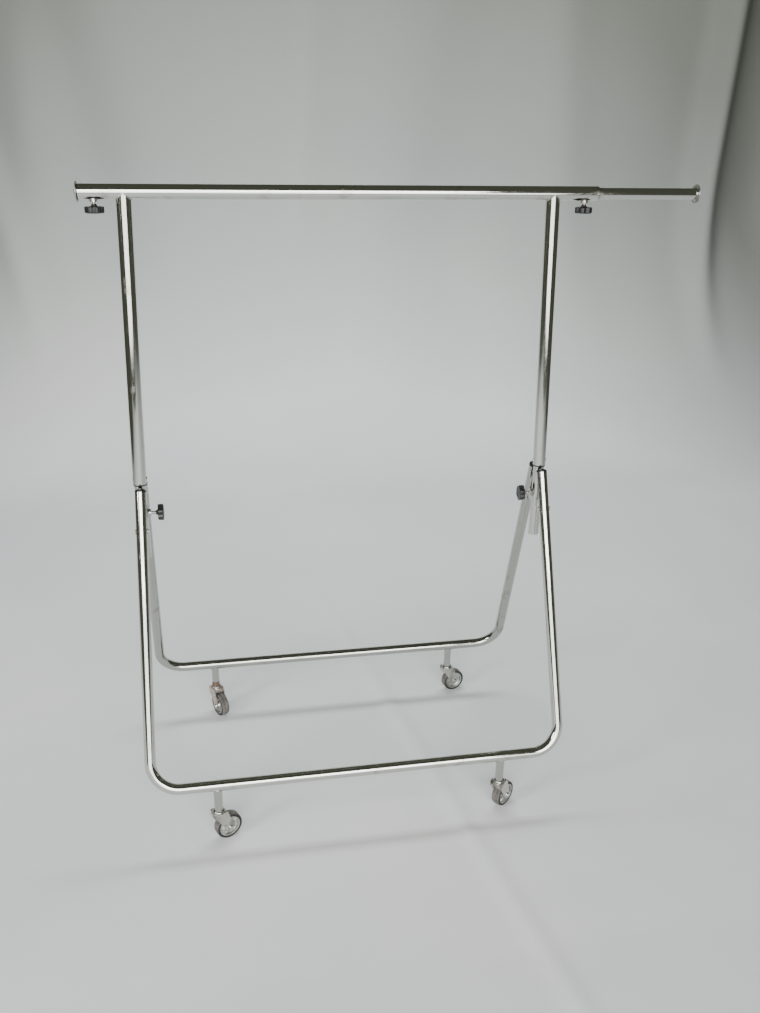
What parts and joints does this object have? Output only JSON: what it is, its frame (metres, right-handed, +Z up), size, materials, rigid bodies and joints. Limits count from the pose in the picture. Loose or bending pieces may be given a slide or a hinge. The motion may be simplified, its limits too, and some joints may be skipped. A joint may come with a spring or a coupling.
{
  "type": "rolling garment rack",
  "caption": "Folding clothes rack on casters: hang rail with pull-out ends over two U-shaped tube leg frames that fold in.",
  "frame": {"origin": "on the floor under the rail, midway between the two posts (not the middle of the overall box, because the right rail end is pulled out)", "axes": "+X along the hang rail towards the end that is pulled out, +Y towards the rear leg frame, +Z up"},
  "size_m": [1.4195, 0.601, 1.5315],
  "materials": {
    "chrome_tube": "polished chrome plate, lightly worn",
    "plated_hardware": "bright zinc or chrome plated steel",
    "black_plastic": "moulded, satin, fine grain",
    "end_disc_metal": "dull pressed steel",
    "caster_fork_metal": "plated pressing with small dents",
    "hub_metal": "satin turned metal",
    "black_tyre": "hard rubber, dusty"
  },
  "bodies": {
    "core": {"post_left": "chrome_tube", "post_right": "chrome_tube", "post_nuts": "plated_hardware", "hinge_lugs_left": "plated_hardware", "hinge_lugs_right": "plated_hardware"},
    "top_frame": {"hang_rail": "chrome_tube", "upright_left": "chrome_tube", "upright_right": "chrome_tube", "rail_nuts": "plated_hardware", "slide_tube_left": "chrome_tube", "slide_tube_right": "chrome_tube", "slide_tube_bushes": "black_plastic", "slide_tube_rivets": "plated_hardware", "rail_liners": "black_plastic"},
    "left_extension": {"extension_tube_left": "chrome_tube", "extension_guide_left": "black_plastic", "end_disc_left": "end_disc_metal", "end_screw_left": "plated_hardware"},
    "right_extension": {"extension_tube_right": "chrome_tube", "extension_guide_right": "black_plastic", "end_disc_right": "end_disc_metal", "end_screw_right": "plated_hardware"},
    "left_rail_screw": {"rail_knob_left": "black_plastic", "rail_stud_left": "plated_hardware"},
    "right_rail_screw": {"rail_knob_right": "black_plastic", "rail_stud_right": "plated_hardware"},
    "left_post_screw": {"post_knob_left": "black_plastic", "post_stud_left": "plated_hardware"},
    "right_post_screw": {"post_knob_right": "black_plastic", "post_stud_right": "plated_hardware"},
    "front_legs": {"front_leg_frame": "chrome_tube", "front_leg_plugs": "black_plastic", "front_pivot_pins": "plated_hardware", "front_pivot_washers": "plated_hardware", "front_caster_sockets": "chrome_tube", "front_left_caster_stem": "plated_hardware", "front_right_caster_stem": "plated_hardware"},
    "rear_legs": {"rear_leg_frame": "chrome_tube", "rear_leg_plugs": "black_plastic", "rear_pivot_pins": "plated_hardware", "rear_pivot_washers": "plated_hardware", "rear_caster_sockets": "chrome_tube", "rear_left_caster_stem": "plated_hardware", "rear_right_caster_stem": "plated_hardware"},
    "front_left_caster": {"front_left_caster_fork": "caster_fork_metal", "front_left_caster_axle": "plated_hardware"},
    "front_left_wheel": {"front_left_wheel_hub": "hub_metal", "front_left_wheel_tyre": "black_tyre"},
    "front_right_caster": {"front_right_caster_fork": "caster_fork_metal", "front_right_caster_axle": "plated_hardware"},
    "front_right_wheel": {"front_right_wheel_hub": "hub_metal", "front_right_wheel_tyre": "black_tyre"},
    "rear_left_caster": {"rear_left_caster_fork": "caster_fork_metal", "rear_left_caster_axle": "plated_hardware"},
    "rear_left_wheel": {"rear_left_wheel_hub": "hub_metal", "rear_left_wheel_tyre": "black_tyre"},
    "rear_right_caster": {"rear_right_caster_fork": "caster_fork_metal", "rear_right_caster_axle": "plated_hardware"},
    "rear_right_wheel": {"rear_right_wheel_hub": "hub_metal", "rear_right_wheel_tyre": "black_tyre"}
  },
  "joints": [
    {"name": "height_slide", "type": "slide", "parent": "core", "child": "top_frame", "axis": [0, 0, 1], "range_m": [0, 0.083]},
    {"name": "left_extension_slide", "type": "slide", "parent": "top_frame", "child": "left_extension", "axis": [-1, 0, 0], "range_m": [0, 0.33]},
    {"name": "right_extension_slide", "type": "slide", "parent": "top_frame", "child": "right_extension", "axis": [1, 0, 0], "range_m": [-0.244, 0.086]},
    {"name": "left_rail_screw_turn", "type": "hinge", "parent": "top_frame", "child": "left_rail_screw", "pos_m": [-0.5415, 0, 1.4725], "axis": [0, 0, -1], "range_deg": [0, 720]},
    {"name": "right_rail_screw_turn", "type": "hinge", "parent": "top_frame", "child": "right_rail_screw", "pos_m": [0.556, 0, 1.4725], "axis": [0, 0, -1], "range_deg": [0, 720]},
    {"name": "left_post_screw_turn", "type": "hinge", "parent": "core", "child": "left_post_screw", "pos_m": [-0.456, 0, 0.77297], "axis": [1, 0, 0], "range_deg": [0, 720]},
    {"name": "right_post_screw_turn", "type": "hinge", "parent": "core", "child": "right_post_screw", "pos_m": [0.456, 0, 0.77297], "axis": [-1, 0, 0], "range_deg": [0, 720]},
    {"name": "front_fold", "type": "hinge", "parent": "core", "child": "front_legs", "pos_m": [0, -0.05996, 0.74997], "axis": [1, 0, 0], "range_deg": [0, 16]},
    {"name": "rear_fold", "type": "hinge", "parent": "core", "child": "rear_legs", "pos_m": [0, 0.05996, 0.74997], "axis": [-1, 0, 0], "range_deg": [0, 16]},
    {"name": "front_left_swivel", "type": "hinge", "parent": "front_legs", "child": "front_left_caster", "pos_m": [-0.3575, -0.27629, 0.08], "axis": [0, 0, 1], "continuous": true},
    {"name": "front_left_wheel_spin", "type": "hinge", "parent": "front_left_caster", "child": "front_left_wheel", "pos_m": [-0.33773, -0.26665, 0.034], "axis": [-0.4384, 0.8988, 0], "continuous": true},
    {"name": "front_right_swivel", "type": "hinge", "parent": "front_legs", "child": "front_right_caster", "pos_m": [0.3575, -0.27629, 0.08], "axis": [0, 0, 1], "continuous": true},
    {"name": "front_right_wheel_spin", "type": "hinge", "parent": "front_right_caster", "child": "front_right_wheel", "pos_m": [0.37484, -0.26275, 0.034], "axis": [-0.6157, 0.788, 0], "continuous": true},
    {"name": "rear_left_swivel", "type": "hinge", "parent": "rear_legs", "child": "rear_left_caster", "pos_m": [-0.3575, 0.27629, 0.08], "axis": [0, 0, 1], "continuous": true},
    {"name": "rear_left_wheel_spin", "type": "hinge", "parent": "rear_left_caster", "child": "rear_left_wheel", "pos_m": [-0.34717, 0.25687, 0.034], "axis": [0.8829, 0.4695, 0], "continuous": true},
    {"name": "rear_right_swivel", "type": "hinge", "parent": "rear_legs", "child": "rear_right_caster", "pos_m": [0.3575, 0.27629, 0.08], "axis": [0, 0, 1], "continuous": true},
    {"name": "rear_right_wheel_spin", "type": "hinge", "parent": "rear_right_caster", "child": "rear_right_wheel", "pos_m": [0.37875, 0.28199, 0.034], "axis": [-0.2588, 0.9659, 0], "continuous": true}
  ]
}
